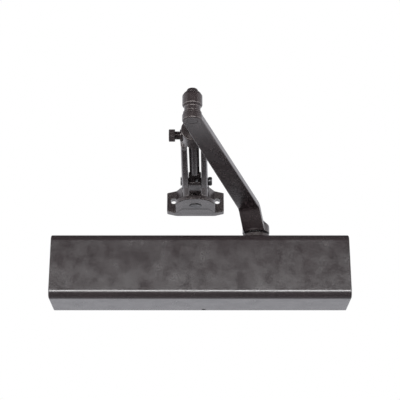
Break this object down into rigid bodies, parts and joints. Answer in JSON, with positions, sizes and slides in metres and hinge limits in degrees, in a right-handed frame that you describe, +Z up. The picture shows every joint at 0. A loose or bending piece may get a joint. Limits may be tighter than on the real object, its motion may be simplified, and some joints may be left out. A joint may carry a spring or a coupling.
{
  "type": "door closer",
  "caption": "Surface door closer: boxed metal cover over a rack-and-pinion body, cranked main arm, adjustable forked forearm and swivelling frame shoe.",
  "frame": {"origin": "middle of the four door screw holes, on the face that lies against the door", "axes": "+X along the cover towards the pinion end, +Y into the door, +Z up"},
  "size_m": [0.3164, 0.2819, 0.1283],
  "materials": {
    "cover_paint": "semi-gloss dark bronze paint with a fine metallic mottle",
    "arm_paint": "semi-gloss dark bronze paint on forged and cast steel",
    "shoe_paint": "dark bronze paint on cast iron",
    "casting_alloy": "as-cast, lightly blasted",
    "machined_steel": "turned and ground",
    "black_steel": "black oxide with an oily sheen",
    "spring_steel": "drawn, dark",
    "brass_parts": "turned",
    "seal_rubber": "matt"
  },
  "bodies": {
    "body": {"body_casting": "casting_alloy", "cover": "cover_paint", "cover_screws": "black_steel", "left_end_cap": "black_steel", "right_end_cap": "black_steel", "end_cap_seals": "seal_rubber", "main_spring": "spring_steel", "upper_bearing": "machined_steel", "lower_bearing": "machined_steel", "pinion_seal": "seal_rubber", "lower_pinion_cap": "black_steel"},
    "power_adjuster": {"power_adjuster": "machined_steel"},
    "spring_seat": {"spring_seat": "machined_steel"},
    "sweep_valve": {"sweep_valve": "brass_parts"},
    "latch_valve": {"latch_valve": "brass_parts"},
    "backcheck_valve": {"backcheck_valve": "brass_parts"},
    "piston": {"piston": "machined_steel", "piston_seals": "seal_rubber", "check_ball": "machined_steel"},
    "spindle_and_arm": {"pinion_shaft": "machined_steel", "dust_collar": "arm_paint", "main_arm": "arm_paint", "arm_washer": "black_steel", "arm_screw": "black_steel", "elbow_stud": "arm_paint", "elbow_washer": "arm_paint", "elbow_nut": "arm_paint"},
    "forearm": {"forearm_rod": "arm_paint", "elbow_bush": "brass_parts"},
    "yoke": {"yoke": "arm_paint", "clamp_nut": "arm_paint"},
    "clamp_screw": {"clamp_screw": "arm_paint"},
    "knuckle": {"knuckle": "shoe_paint", "pivot_pin": "black_steel", "pivot_ring": "black_steel", "pivot_set_screw": "machined_steel"},
    "shoe": {"shoe": "shoe_paint", "swivel_pin": "black_steel", "swivel_washers": "brass_parts"}
  },
  "joints": [
    {"name": "spindle_turn", "type": "hinge", "parent": "body", "child": "spindle_and_arm", "pos_m": [0.0598, -0.027, 0], "axis": [0, 0, 1], "range_deg": [-160, 0], "stiffness_Nm_per_rad": 6, "springref_deg": 28.65},
    {"name": "piston_travel", "type": "slide", "parent": "body", "child": "piston", "axis": [1, 0, 0], "range_m": [-0.028, 0], "deforming": ["main_spring"]},
    {"name": "power_adjuster_turn", "type": "hinge", "parent": "body", "child": "power_adjuster", "pos_m": [-0.14, -0.027, 0], "axis": [1, 0, 0], "range_deg": [-180, 180]},
    {"name": "spring_seat_travel", "type": "slide", "parent": "body", "child": "spring_seat", "axis": [1, 0, 0], "range_m": [-0.00095, 0.00095]},
    {"name": "sweep_valve_turn", "type": "hinge", "parent": "body", "child": "sweep_valve", "pos_m": [0.13, -0.027, 0.025], "axis": [1, 0, 0], "range_deg": [-180, 180]},
    {"name": "latch_valve_turn", "type": "hinge", "parent": "body", "child": "latch_valve", "pos_m": [0.13, -0.027, -0.025], "axis": [1, 0, 0], "range_deg": [-180, 180]},
    {"name": "backcheck_valve_turn", "type": "hinge", "parent": "body", "child": "backcheck_valve", "pos_m": [0.13, -0.0125, 0.0195], "axis": [1, 0, 0], "range_deg": [-180, 180]},
    {"name": "elbow_turn", "type": "hinge", "parent": "spindle_and_arm", "child": "forearm", "pos_m": [-0.0067, -0.273, 0.079], "axis": [0, 0, 1], "range_deg": [0, 160]},
    {"name": "rod_length", "type": "slide", "parent": "forearm", "child": "yoke", "axis": [0.008, 1, 0], "range_m": [-0.007, 0.05]},
    {"name": "clamp_screw_turn", "type": "hinge", "parent": "yoke", "child": "clamp_screw", "pos_m": [-0.02612, -0.20084, 0.079], "axis": [1, -0.008, 0], "range_deg": [-180, 180]},
    {"name": "shoe_tilt", "type": "hinge", "parent": "yoke", "child": "knuckle", "pos_m": [-0.00522, -0.08701, 0.079], "axis": [-1, 0.008, 0], "range_deg": [-8, 8]},
    {"name": "shoe_swivel", "type": "hinge", "parent": "knuckle", "child": "shoe", "pos_m": [-0.0049, -0.0475, 0.08], "axis": [0, 0, 1], "range_deg": [-75, 75]}
  ],
  "couplings": [
    {"joint": "piston_travel", "follows": "spindle_turn", "m_per_rad": 0.01},
    {"joint": "spring_seat_travel", "follows": "power_adjuster_turn", "m_per_rad": 0.00023873}
  ]
}
